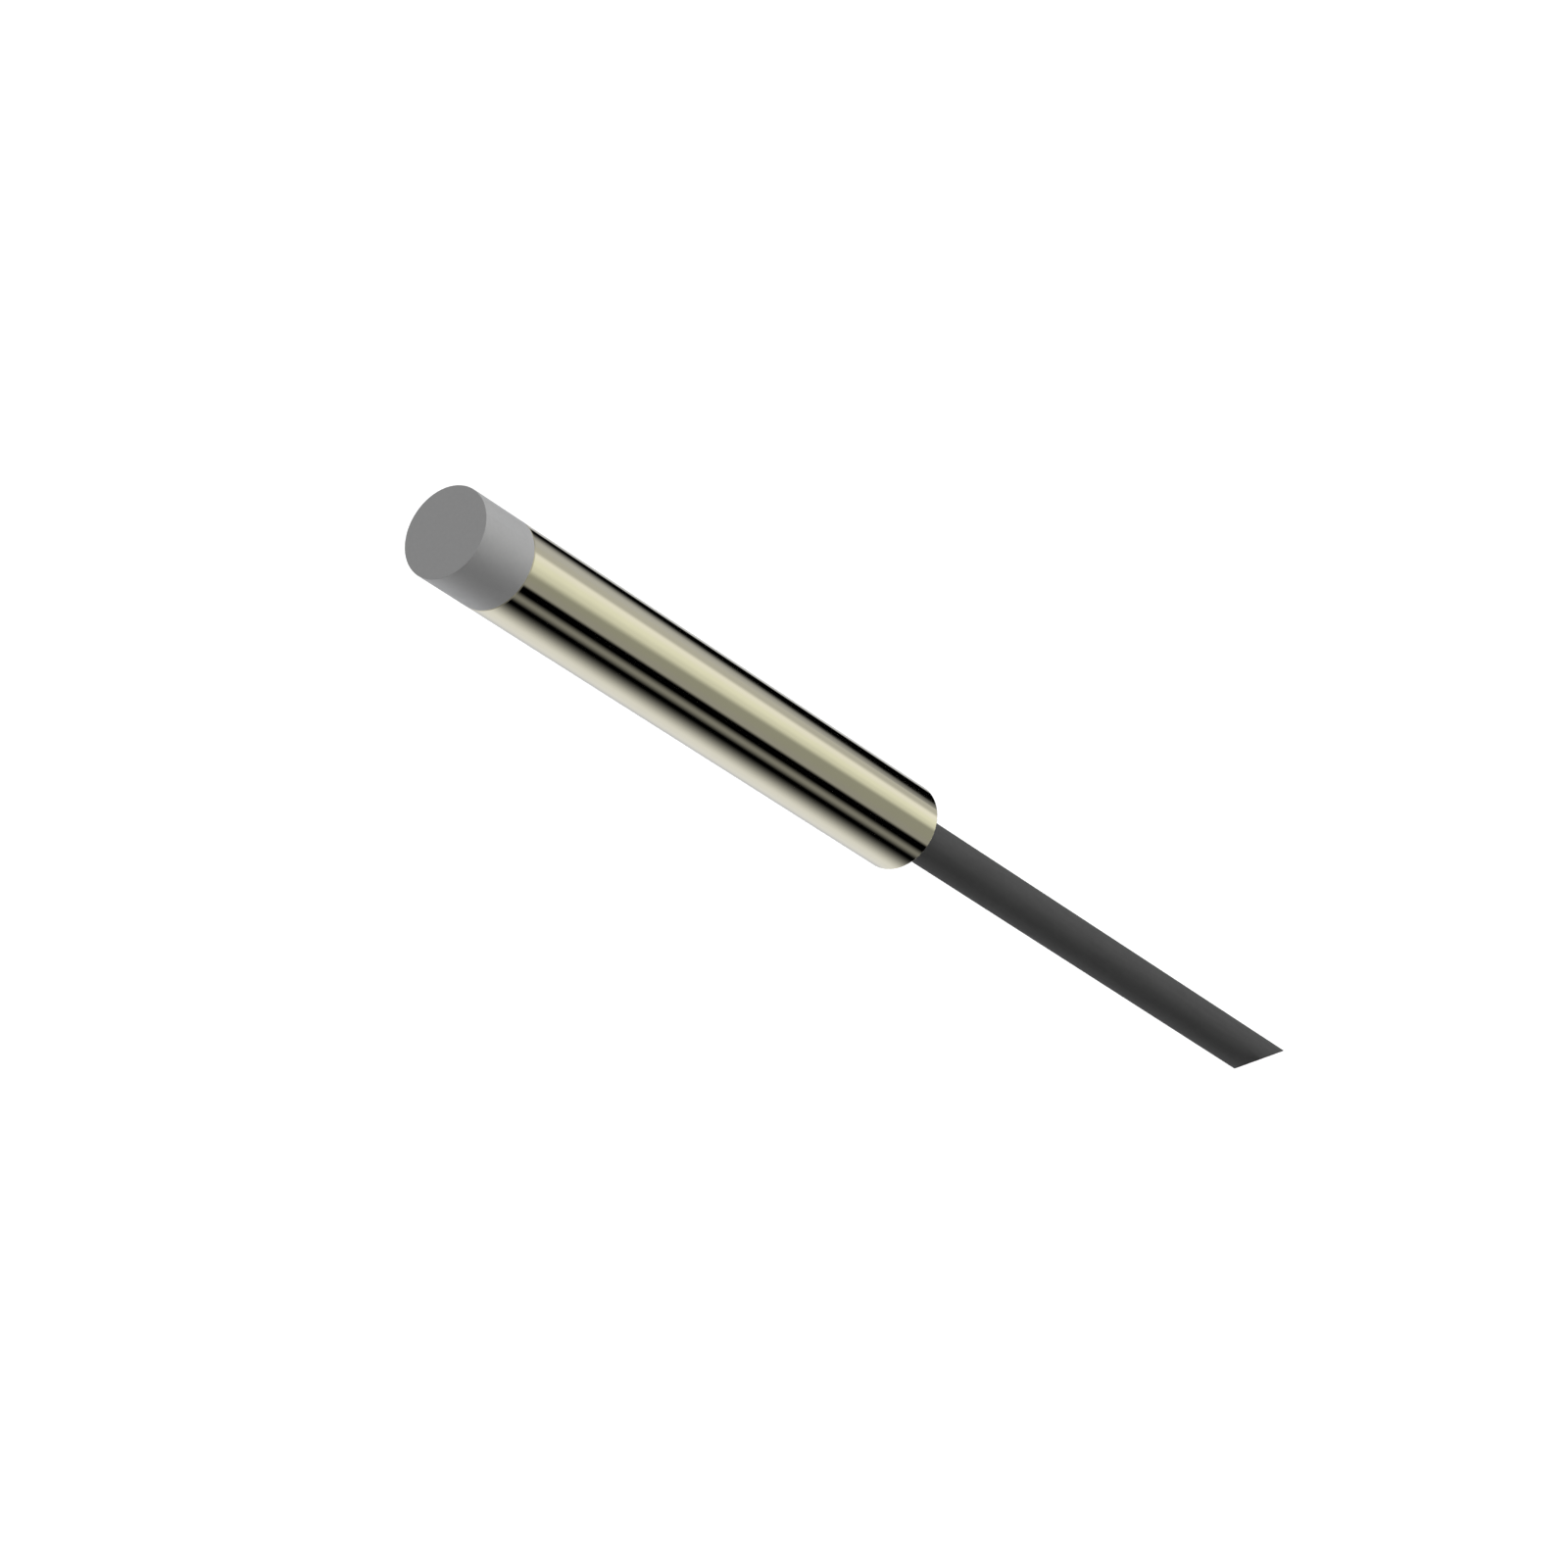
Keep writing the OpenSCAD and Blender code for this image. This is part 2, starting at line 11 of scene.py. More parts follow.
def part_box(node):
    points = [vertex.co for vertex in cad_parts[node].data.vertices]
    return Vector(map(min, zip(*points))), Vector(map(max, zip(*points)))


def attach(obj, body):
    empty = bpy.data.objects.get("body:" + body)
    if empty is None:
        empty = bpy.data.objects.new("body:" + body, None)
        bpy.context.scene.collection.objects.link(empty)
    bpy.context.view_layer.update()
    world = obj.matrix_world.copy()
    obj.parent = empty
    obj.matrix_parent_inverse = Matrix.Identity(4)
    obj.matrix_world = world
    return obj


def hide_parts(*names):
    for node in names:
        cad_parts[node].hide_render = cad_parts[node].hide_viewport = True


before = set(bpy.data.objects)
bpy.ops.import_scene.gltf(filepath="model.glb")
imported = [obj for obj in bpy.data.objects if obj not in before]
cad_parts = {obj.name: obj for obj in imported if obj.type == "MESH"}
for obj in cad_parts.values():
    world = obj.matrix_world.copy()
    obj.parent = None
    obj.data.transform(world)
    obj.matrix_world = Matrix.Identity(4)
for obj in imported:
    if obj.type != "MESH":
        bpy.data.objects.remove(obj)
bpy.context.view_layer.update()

MM = 0.001
MICRON = 0.000001
# Faces that meet at more than this angle keep a sharp edge between them
SHARP_ANGLE = math.radians(35)
scene = bpy.context.scene

# Camera: the point it looks at, how far from there it stands, its compass angle, height and roll in
# degrees, its lens and sensor, and how near and how far it sees in metres
AIM = Vector((0.49, -3.87, -10.1)) * MM
CAMERA_DISTANCE = 450 * MM
CAMERA_AZIMUTH = 43.13
CAMERA_ELEVATION = 48.17
CAMERA_ROLL = -57.38
LENS_MM = 123.885
SENSOR_MM = 36
NEAREST_SEEN = 0.01
FURTHEST_SEEN = 50

# Cable: the route repeats the model's, in millimetres from the middle of the rear face down
CABLE_D = 4 * MM
CABLE_ROUTE = [0, -10, -20, -30, -40, -50, -62.8]
CUT_ANGLE = math.radians(62)
CUT_NORMAL = Vector((0, -math.sin(CUT_ANGLE), -math.cos(CUT_ANGLE)))
CUT_EDGE = 0.04 * MM
REAR_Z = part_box("barrel")[0].z
SHEATH_TOP_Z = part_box("cable")[1].z
CUT_MIDDLE_Z = REAR_Z + CABLE_ROUTE[-1] * MM

# Cosine between a face's normal and the cut's: from the first value up the face lies in the cut, and from
# the second value down it has nothing of the cut's look
IN_THE_CUT = 0.99
OFF_THE_CUT = 0.97

# The cable's three wires, as the model has them: a triangle of round wires inside the sheath
LEAD_D = 1.25 * MM
LEAD_GAP = 0.05 * MM
LEAD_ANGLES = {"brown": 210, "blue": 330, "black": 90}

# A wire's strands: six twisted round one in the middle, so three lie across the bundle. Each is a little
# thinner than its place, and the outer ones go once round in a lay
STRAND_BUNDLE_D = 0.65 * MM
OUTER_STRANDS = 6
STRAND_PITCH = STRAND_BUNDLE_D / 3
STRAND_R = 0.97 * STRAND_PITCH / 2
STRAND_LAY = 9 * MM

# The wires' ends in the cut: their length, how far the tools that make room for them run out past the cut,
# and how far the insulation and the strands stand back from it. The strands' angle step makes them uneven
STUB_LENGTH = 6 * MM
CHANNEL_OVERRUN = 5 * MM
INSULATION_BACK = 0.06 * MM
STRAND_BACK = 0.03 * MM
UNEVEN_STEP = 2.4
STRAND_EDGE = 0.015 * MM
STRAND_GAP = 0.01 * MM
PRESS_GAP = 0.02 * MM

# The same wires in the barrel: each one's place on the board and side of it (front -1, back 1), the straight
# stretch below the board, how early the insulation ends, and how far the strands run on over the pad
LEAD_PAD_X = {"brown": -1.6 * MM, "blue": 1.6 * MM, "black": 0}
LEAD_SIDE = {"brown": -1, "blue": -1, "black": 1}
STRAIGHT_RUN = 2.4 * MM
STRAND_BARE = 0.4 * MM
STRAND_OVERLAP = 2.2 * MM

# Circuit board: its box, and the shoulder under its tongue, which lies 5.5 mm above the sensor's chip
BOARD_LOW, BOARD_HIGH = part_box("circuit_board")
SHOULDER_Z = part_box("sensor_ic")[1].z + 5.5 * MM


def make_camera():
    """Puts the camera at the photograph's viewing angle."""
    azimuth = math.radians(CAMERA_AZIMUTH)
    elevation = math.radians(CAMERA_ELEVATION)
    back = Vector((
        math.sin(azimuth) * math.cos(elevation),
        -math.cos(azimuth) * math.cos(elevation),
        math.sin(elevation),
    ))
    data = bpy.data.cameras.new("camera")
    data.sensor_width = SENSOR_MM
    data.lens = LENS_MM
    data.clip_start = NEAREST_SEEN
    data.clip_end = FURTHEST_SEEN
    camera = bpy.data.objects.new("camera", data)
    turn = back.to_track_quat("Z", "Y").to_matrix() @ Matrix.Rotation(math.radians(CAMERA_ROLL), 3, "Z")
    camera.matrix_world = Matrix.Translation(AIM + back * CAMERA_DISTANCE) @ turn.to_4x4()
    scene.collection.objects.link(camera)
    scene.camera = camera


# Meshes of the cable


def cut_z(y):
    """Height of the slanted cut through the cable's end at a place across it."""
    return CUT_MIDDLE_Z - math.tan(CUT_ANGLE) * y


def add_object(name, points, faces):
    """A mesh object with smooth faces and sharp edges where it turns a corner."""
    mesh = bpy.data.meshes.new(name)
    mesh.from_pydata(points, [], faces)
    mesh.validate()
    mesh.shade_smooth()
    mesh.set_sharp_from_angle(angle=SHARP_ANGLE)
    obj = bpy.data.objects.new(name, mesh)
    scene.collection.objects.link(obj)
    return obj


def circle_points(centre, radius, sides):
    """Places round a circle, seen from above."""
    return [
        (
            centre[0] + radius * math.cos(math.tau * k / sides),
            centre[1] + radius * math.sin(math.tau * k / sides),
        )
        for k in range(sides)
    ]


def strip_faces(low, high, sides):
    """Faces between two rings of a tube whose first points are low and high."""
    return [(low + k, low + (k + 1) % sides, high + (k + 1) % sides, high + k) for k in range(sides)]


def ring_face(first, sides, turned=False):
    """One flat face in a ring from its first point on, which looks the other way when turned."""
    ring = range(first, first + sides)
    return tuple(reversed(ring)) if turned else tuple(ring)


def cut_rod(name, centre, radius, top_z, beyond=0.0, chamfer=0.0, sides=48, levels=2):
    """A solid rod that hangs down from top_z and ends in the slanted cut, or a little beyond it."""
    points = []
    for level in range(levels):
        share = level / (levels - 1)
        for x, y in circle_points(centre, radius, sides):
            end_z = cut_z(y) - beyond + chamfer
            points.append((x, y, end_z + (top_z - end_z) * share))
    faces = []
    for level in range(levels - 1):
        faces += strip_faces(level * sides, (level + 1) * sides, sides)
    faces.append(ring_face((levels - 1) * sides, sides))
    if chamfer:
        first = len(points)
        points += [(x, y, cut_z(y) - beyond) for x, y in circle_points(centre, radius - chamfer, sides)]
        faces += strip_faces(first, 0, sides)
        faces.append(ring_face(first, sides, turned=True))
    else:
        faces.append(ring_face(0, sides, turned=True))
    return add_object(name, points, faces)


def cut_tube(name, centre, outer, inner, top_z, beyond, sides=40):
    """A tube that hangs down from top_z and ends in the slanted cut, or a little beyond it."""
    points, faces = [], []
    rings = ((outer, False), (outer, True), (inner, True), (inner, False))
    for i, (radius, at_top) in enumerate(rings):
        for x, y in circle_points(centre, radius, sides):
            points.append((x, y, top_z if at_top else cut_z(y) - beyond))
        faces += strip_faces(i * sides, (i + 1) % len(rings) * sides, sides)
    return add_object(name, points, faces)


def drill(target, drills):
    """Takes the drills' shapes out of the target, keeps its cut face flat, and removes the drills."""
    for tool in drills:
        hole = target.modifiers.new("hole", "BOOLEAN")
        hole.operation = "DIFFERENCE"
        hole.solver = "EXACT"
        hole.object = tool
    bpy.context.view_layer.update()
    ready = target.evaluated_get(bpy.context.evaluated_depsgraph_get())
    mesh = bpy.data.meshes.new_from_object(ready)
    mesh.shade_smooth()
    mesh.set_sharp_from_angle(angle=SHARP_ANGLE)
    for face in mesh.polygons:
        face.use_smooth = face.normal.dot(CUT_NORMAL) < IN_THE_CUT
    target.modifiers.clear()
    target.data = mesh
    for tool in drills:
        bpy.data.objects.remove(tool)


def lead_centre(colour):
    """Where a wire runs inside the sheath."""
    reach = (LEAD_D + LEAD_GAP) / math.sqrt(3)
    angle = math.radians(LEAD_ANGLES[colour])
    return reach * math.cos(angle), reach * math.sin(angle)


def make_sheath():
    """The cable's sheath: one long rod with the three wires' channels open at its cut end."""
    sheath = cut_rod("cable_sheath", (0, 0), CABLE_D / 2, SHEATH_TOP_Z, chamfer=CUT_EDGE, sides=96, levels=24)
    channels = []
    for colour in LEAD_ANGLES:
        centre = lead_centre(colour)
        channel_top_z = cut_z(centre[1]) + STUB_LENGTH + LEAD_GAP
        channels.append(cut_rod(
            f"channel_{colour}", centre, LEAD_D / 2 + PRESS_GAP, channel_top_z, beyond=CHANNEL_OVERRUN,
        ))
    drill(sheath, channels)
    return sheath


def make_wire_end(colour):
    """One insulated wire's end in the cut, with its strands, which end a little unevenly."""
    centre = lead_centre(colour)
    top_z = cut_z(centre[1]) + STUB_LENGTH
    insulation = cut_tube(
        f"cut_{colour}_insulation", centre, LEAD_D / 2, STRAND_BUNDLE_D / 2 + STRAND_GAP, top_z,
        beyond=-INSULATION_BACK,
    )
    places = [centre] + circle_points(centre, STRAND_PITCH, OUTER_STRANDS)
    strands = []
    for i, place in enumerate(places):
        beyond = STRAND_BACK * (math.sin(UNEVEN_STEP * i + LEAD_ANGLES[colour]) - 1)
        strands.append(cut_rod(
            f"cut_{colour}_strand_{i + 1}", place, STRAND_R, top_z, beyond, chamfer=STRAND_EDGE, sides=16,
        ))
    return insulation, strands


def make_cable():
    """Builds the cable in place of its plain solid."""
    sheath = make_sheath()
    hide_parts("cable")
    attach(sheath, "root")
    for colour in LEAD_ANGLES:
        insulation, strands = make_wire_end(colour)
        for piece in [insulation, *strands]:
            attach(piece, "root")


# Wires in the barrel


def lead_route(colour, steps=24):
    """Middle line of one wire, from the stripped end of the sheath up to the board's edge."""
    start = Vector((*lead_centre(colour), SHEATH_TOP_Z))
    rise = start + Vector((0, 0, LEAD_D / 2))
    away = BOARD_HIGH.y + STRAND_BUNDLE_D / 2 + PRESS_GAP
    run = Vector((LEAD_PAD_X[colour], LEAD_SIDE[colour] * away, BOARD_LOW.z - STRAIGHT_RUN))
    bend = []
    for step in range(1, steps + 1):
        share = step / steps
        ease = share * share * (3 - 2 * share)
        point = rise.lerp(run, ease)
        point.z = rise.z + (run.z - rise.z) * share
        bend.append(point)
    return [start, rise, *bend, Vector((run.x, run.y, BOARD_LOW.z - STRAND_BARE))]


def route_frames(route):
    """Points of a route that mostly rises, each with two directions square to it and its distance along."""
    frames = []
    distance = 0
    for i, point in enumerate(route):
        along = (route[min(i + 1, len(route) - 1)] - route[max(i - 1, 0)]).normalized()
        across = Vector((0, 1, 0)).cross(along).normalized()
        distance += (point - route[i - 1]).length if i else 0
        frames.append((point, across, along.cross(across), distance))
    return frames


def ring_round(point, across, up, radius, sides):
    """Places round a point of a route."""
    return [
        point + radius * (math.cos(math.tau * k / sides) * across + math.sin(math.tau * k / sides) * up)
        for k in range(sides)
    ]


def skin(rings, points, faces, closed):
    """Adds the faces through a row of rings, back to the first one when closed, or else with flat ends."""
    sides = len(rings[0])
    first = len(points)
    last = first + (len(rings) - 1) * sides
    for ring in rings:
        points += [tuple(place) for place in ring]
    for i in range(len(rings) - 1):
        faces += strip_faces(first + i * sides, first + (i + 1) * sides, sides)
    if closed:
        faces += strip_faces(last, first, sides)
    else:
        faces.append(ring_face(first, sides, turned=True))
        faces.append(ring_face(last, sides))


def make_insulation(colour, route, sides=28):
    """The round insulation of one wire."""
    frames = route_frames(route)
    inner_r = STRAND_BUNDLE_D / 2 + PRESS_GAP
    rings = [ring_round(point, across, up, LEAD_D / 2, sides) for point, across, up, _ in frames]
    rings += [ring_round(point, across, up, inner_r, sides) for point, across, up, _ in reversed(frames)]
    points, faces = [], []
    skin(rings, points, faces, closed=True)
    return add_object(f"{colour}_wire_insulation", points, faces)


def make_strands(colour, route, sides=10, pad_steps=6):
    """The twisted strands of one wire, which run on over the board's pad."""
    pad_end = Vector((route[-1].x, route[-1].y, BOARD_LOW.z + STRAND_OVERLAP))
    over_pad = [route[-1].lerp(pad_end, step / pad_steps) for step in range(1, pad_steps + 1)]
    frames = route_frames([*route, *over_pad])
    points, faces = [], []
    for strand in range(OUTER_STRANDS + 1):
        reach = STRAND_PITCH if strand < OUTER_STRANDS else 0
        rings = []
        for point, across, up, distance in frames:
            turn = math.tau * (strand / OUTER_STRANDS + distance / STRAND_LAY)
            middle = point + reach * (math.cos(turn) * across + math.sin(turn) * up)
            rings.append(ring_round(middle, across, up, STRAND_R, sides))
        skin(rings, points, faces, closed=False)
    return add_object(f"{colour}_wire_strands", points, faces)


def make_inner_wires():
    """Round insulation and stranded conductors in place of the plain wires in the barrel."""
    for colour in LEAD_ANGLES:
        route = lead_route(colour)
        for piece, node, slot in (
            (make_insulation(colour, route), f"{colour}_insulation", f"{colour}_pvc"),
            (make_strands(colour, route), f"{colour}_conductor", "bare_copper"),
        ):
            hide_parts(node)
            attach(piece, "root")


# Print on the circuit board

# Places are in millimetres: on the board's front (-1) or its back (1), across it, and down from its
# shoulder. A pad also has its width and length. What is in pairs lies at x and again at -x
PAD_HEIGHT = 0.01 * MM
PAD_CORNER_R = 0.08
SINGLE_PADS = [(1, 0, 34.1, 1.5, 2.2), (1, 0, 24.4, 0.65, 0.65)]
PAIRED_PADS = [
    (-1, 2.2, 1.9, 0.6, 1.3), (-1, 1.6, 34.1, 1.5, 2.2), (1, 1.6, 14, 1, 1.5), (1, 1.12, 20.5, 0.6, 0.6),
    (1, 0.95, 26.6, 0.65, 0.65),
]
# The chips with two tinned ends. The pads under the ends: how far out they lie, and their width and length
CHIPS = [(-1, 0, 3), (1, 0, 5), (1, 0, 8.5), (-1, -1.2, 12), (-1, 1.2, 12), (-1, -1.2, 16), (-1, 1.2, 16)]
CHIP_PAD_X = 0.72
CHIP_PAD = (0.7, 0.9)
# The sensor's chip: how far down its middle lies, and how many feet it has on each side and how far apart.
# The pads under them: how far out they lie, and their width and length
IC_DOWN = 7
FOOT_ROWS = 4
FOOT_PITCH = 0.65
FOOT_PAD_X = 2.14
FOOT_PAD = (0.62, 0.36)
# Vias go through the board
VIAS = [(-1.1, 9.8), (1.1, 9.8), (-2.2, 29), (2.2, 29), (0, 18.4)]
VIA_R = 0.2
VIA_SIDES = 20
# Printed lines
LINE_WIDTH = 0.22
SINGLE_LINES = [
    (-1, [(-0.5, 12), (-0.5, 16)]),
    (-1, [(0.5, 12), (0.5, 17.6), (0, 18.1), (0, 18.4)]),
    (1, [(0, 18.4), (0, 24.4)]),
    (1, [(0, 26.9), (0, 34.1)]),
]
PAIRED_LINES = [
    (-1, [(2.2, 1.9), (2.2, 2.3), (1.5, 3), (0.7, 3)]),
    (-1, [(0.9, 3.3), (1.3, 3.3), (2.1, 4.1), (2.1, 6)]),
    (-1, [(1.8, 7.325), (1.1, 8), (1.1, 9.8)]),
    (-1, [(2.1, 7.975), (2.1, 11.6), (1.8, 12)]),
    (-1, [(1.9, 16), (2.2, 16.5), (2.2, 33.2)]),
    (1, [(0.75, 5), (0.75, 9.5), (1.6, 10.4), (1.6, 19.6), (1.1, 20.1), (1.1, 20.5)]),
    (1, [(0.95, 26.6), (0.95, 27.6), (2.2, 28.8), (2.2, 29)]),
]


def pad_outline(x, down, width, length):
    """Outline of a pad, with four points round each corner."""
    outline = []
    for corner, (turn_x, turn_down) in enumerate(((1, 1), (-1, 1), (-1, -1), (1, -1))):
        for step in range(4):
            angle = math.radians(90 * corner + 30 * step)
            outline.append((
                x + turn_x * (width / 2 - PAD_CORNER_R) + PAD_CORNER_R * math.cos(angle),
                down + turn_down * (length / 2 - PAD_CORNER_R) + PAD_CORNER_R * math.sin(angle),
            ))
    return outline


def line_outline(line):
    """Outline of a printed line of even width along its points."""
    places = [Vector(place) for place in line]
    ways = [(end - start).normalized() for start, end in zip(places, places[1:])]
    ways = [ways[0], *ways, ways[-1]]
    left, right = [], []
    for place, before, after in zip(places, ways, ways[1:]):
        along = (before + after).normalized()
        reach = LINE_WIDTH / 2 / along.dot(before)
        side = Vector((-along.y, along.x)) * reach
        left.append(tuple(place + side))
        right.append(tuple(place - side))
    return left + right[::-1]


def print_on_board(name, outlines, height):
    """Thin plates on the board, each a side and an outline in millimetres, sunk a little into its face."""
    points, faces = [], []
    for side, outline in outlines:
        count = len(outline)
        first = len(points)
        for y in (BOARD_HIGH.y - PAD_HEIGHT, BOARD_HIGH.y + height):
            points += [(x * MM, side * y, SHOULDER_Z - down * MM) for x, down in outline]
        faces += strip_faces(first, first + count, count)
        faces.append(ring_face(first, count, turned=True))
        faces.append(ring_face(first + count, count))
    plates = add_object(name, points, faces)
    work = bmesh.new()
    work.from_mesh(plates.data)
    bmesh.ops.recalc_face_normals(work, faces=work.faces)
    work.to_mesh(plates.data)
    work.free()
    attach(plates, "root")
    return plates


def make_pads():
    """Tinned pads under the chips and the wires, and the tinned ends of the vias."""
    pads = [(side, pad_outline(*pad)) for side, *pad in SINGLE_PADS]
    for end in (-1, 1):
        pads += [(side, pad_outline(end * x, *pad)) for side, x, *pad in PAIRED_PADS]
        pads += [(side, pad_outline(x + end * CHIP_PAD_X, down, *CHIP_PAD)) for side, x, down in CHIPS]
        for row in range(FOOT_ROWS):
            down = IC_DOWN + (row - (FOOT_ROWS - 1) / 2) * FOOT_PITCH
            pads.append((-1, pad_outline(end * FOOT_PAD_X, down, *FOOT_PAD)))
    for side in (-1, 1):
        pads += [(side, circle_points(place, VIA_R, VIA_SIDES)) for place in VIAS]
    print_on_board("board_pads", pads, PAD_HEIGHT)


def make_lines():
    """Printed lines under the green mask, half as high as the pads."""
    lines = [(side, line_outline(line)) for side, line in SINGLE_LINES]
    for end in (-1, 1):
        lines += [(side, line_outline([(end * x, down) for x, down in line])) for side, line in PAIRED_LINES]
    print_on_board("board_lines", lines, PAD_HEIGHT / 2)


make_camera()
make_cable()
make_inner_wires()
make_pads()
make_lines()


# Materials


class Nodes:
    """Short ways to add and join the nodes of one shader tree."""

    def __init__(self, tree):
        self.tree = tree

    def add(self, kind):
        """Adds a node of that kind."""
        return self.tree.nodes.new(kind)

    def link(self, source, target):
        """Joins one node's output to another node's input."""
        self.tree.links.new(source, target)

    def feed(self, socket, value):
        """Joins another node's output to a socket, or sets the socket to a number or a colour."""
        if isinstance(value, bpy.types.NodeSocket):
            self.link(value, socket)
        else:
            socket.default_value = (*value, 1) if isinstance(value, tuple) else value

    def maths(self, operation, *values, clamp=False):
        """A number worked out from numbers and other nodes' outputs."""
        node = self.add("ShaderNodeMath")
        node.operation = operation
        node.use_clamp = clamp
        for socket, value in zip(node.inputs, values):
            self.feed(socket, value)
        return node.outputs[0]

    def blend(self, share, first, second, kind="MIX"):
        """One colour made of two, each a triple or another node's output."""
        node = self.add("ShaderNodeMix")
        node.data_type = "RGBA"
        node.blend_type = kind
        self.feed(node.inputs["Factor"], share)
        self.feed(node.inputs[6], first)
        self.feed(node.inputs[7], second)
        return node.outputs[2]

    def spread(self, value, low, high, start=0.3, end=0.7, kind="LINEAR"):
        """The value, taken from start..end to low..high. A noise's values mostly lie from 0.3 to 0.7."""
        node = self.add("ShaderNodeMapRange")
        node.interpolation_type = kind
        for socket, number in (("From Min", start), ("From Max", end), ("To Min", low), ("To Max", high)):
            node.inputs[socket].default_value = number
        self.link(value, node.inputs["Value"])
        return node.outputs["Result"]


class Finish(Nodes):
    """One material: its Principled shader and the textures that feed it."""

    def __init__(self, name, colour, roughness, metallic=0.0, specular=0.5, coat=0.0):
        self.material = bpy.data.materials.new(name)
        self.material.use_nodes = True
        super().__init__(self.material.node_tree)
        self.shader = self.tree.nodes["Principled BSDF"]
        self.colour = colour
        for socket, value in (
            ("Base Color", colour), ("Roughness", roughness), ("Metallic", metallic),
            ("Specular IOR Level", specular), ("Coat Weight", coat),
        ):
            self.feed(self.shader.inputs[socket], value)
        self.place = self.add("ShaderNodeTexCoord").outputs["Object"]

    def noise(self, grain, detail=2.0, stretch=(1, 1, 1)):
        """Cloudy noise whose grains are about that size in metres, drawn out along an axis by stretch."""
        mapping = self.add("ShaderNodeMapping")
        mapping.inputs["Scale"].default_value = [1 / (grain * s) for s in stretch]
        texture = self.add("ShaderNodeTexNoise")
        texture.inputs["Scale"].default_value = 1
        texture.inputs["Detail"].default_value = detail
        self.link(self.place, mapping.inputs["Vector"])
        self.link(mapping.outputs["Vector"], texture.inputs["Vector"])
        return texture.outputs["Fac"]

    def rings(self, grain, detail=3.0):
        """Fine turned lines round the Z axis, about that size apart in metres."""
        texture = self.add("ShaderNodeTexNoise")
        texture.noise_dimensions = "1D"
        texture.inputs["Scale"].default_value = 1 / grain
        texture.inputs["Detail"].default_value = detail
        self.link(self.along("Z"), texture.inputs["W"])
        return texture.outputs["Fac"]

    def along(self, axis):
        """A place's own coordinate along an axis."""
        parts = self.add("ShaderNodeSeparateXYZ")
        self.link(self.place, parts.inputs["Vector"])
        return parts.outputs[axis]

    def beyond(self, axis, middle, reach, soft=0.02 * MM):
        """1 where a place is further than reach from the middle along an axis, and 0 nearer."""
        away = self.maths("ABSOLUTE", self.maths("SUBTRACT", self.along(axis), middle))
        return self.spread(away, 0, 1, start=reach - soft, end=reach + soft)

    def in_cut(self):
        """1 on the cable's cut face, and 0 elsewhere."""
        node = self.add("ShaderNodeVectorMath")
        node.operation = "DOT_PRODUCT"
        node.inputs[1].default_value = CUT_NORMAL
        self.link(self.add("ShaderNodeTexCoord").outputs["Normal"], node.inputs[0])
        return self.spread(node.outputs["Value"], 0, 1, start=OFF_THE_CUT, end=IN_THE_CUT)

    def shades(self, value, amount, colour):
        """A colour that turns a little darker and lighter with the value."""
        dark = tuple(c * (1 - amount) for c in colour)
        light = tuple(min(1, c * (1 + amount)) for c in colour)
        return self.blend(self.spread(value, 0, 1), dark, light)

    def paint(self, colour):
        """Takes the base colour from another node's output."""
        self.link(colour, self.shader.inputs["Base Color"])

    def vary_colour(self, value, amount):
        """Makes the base colour a little darker and lighter with the value."""
        self.paint(self.shades(value, amount, self.colour))

    def vary_roughness(self, value, low, high):
        """Takes the roughness from low to high with the value."""
        self.link(self.spread(value, low, high), self.shader.inputs["Roughness"])

    def bump(self, height, depth):
        """Raises the surface by up to that depth in metres."""
        node = self.add("ShaderNodeBump")
        node.inputs["Distance"].default_value = depth
        self.link(height, node.inputs["Height"])
        self.link(node.outputs["Normal"], self.shader.inputs["Normal"])


def nickel_plate():
    """Bright, slightly warm nickel on a finely turned barrel."""
    finish = Finish("nickel_plate", colour=(0.74, 0.70, 0.535), roughness=0.06, metallic=1)
    finish.vary_colour(finish.noise(grain=6 * MM, detail=3), amount=0.015)
    finish.vary_roughness(finish.noise(grain=2.5 * MM, detail=4), low=0.045, high=0.07)
    finish.bump(finish.rings(grain=0.09 * MM), depth=0.3 * MICRON)
    return finish.material


def cap_plastic():
    """Moulded grey plastic with a fine matt grain."""
    finish = Finish("cap_plastic", colour=(0.265, 0.265, 0.265), roughness=0.45)
    finish.vary_colour(finish.noise(grain=0.35 * MM, detail=4), amount=0.02)
    finish.vary_roughness(finish.noise(grain=0.8 * MM), low=0.42, high=0.5)
    finish.bump(finish.noise(grain=0.07 * MM, detail=3), depth=3 * MICRON)
    return finish.material


def sheath_rubber():
    """Satin dark grey sheath with lines drawn along it, paler in the fresh cut."""
    finish = Finish("cable_sheath", colour=(0.05, 0.05, 0.05), roughness=0.8, specular=0.15)
    lines = finish.noise(grain=0.5 * MM, detail=3, stretch=(1, 1, 12))
    slices = finish.noise(grain=0.25 * MM, detail=4, stretch=(6, 1, 1))
    drawn = finish.shades(lines, amount=0.05, colour=finish.colour)
    sliced = finish.shades(slices, amount=0.12, colour=(0.075, 0.075, 0.075))
    finish.paint(finish.blend(finish.in_cut(), drawn, sliced))
    finish.vary_roughness(finish.noise(grain=0.9 * MM, detail=3), low=0.75, high=0.85)
    finish.bump(finish.noise(grain=0.12 * MM, detail=3, stretch=(1, 1, 8)), depth=4 * MICRON)
    return finish.material


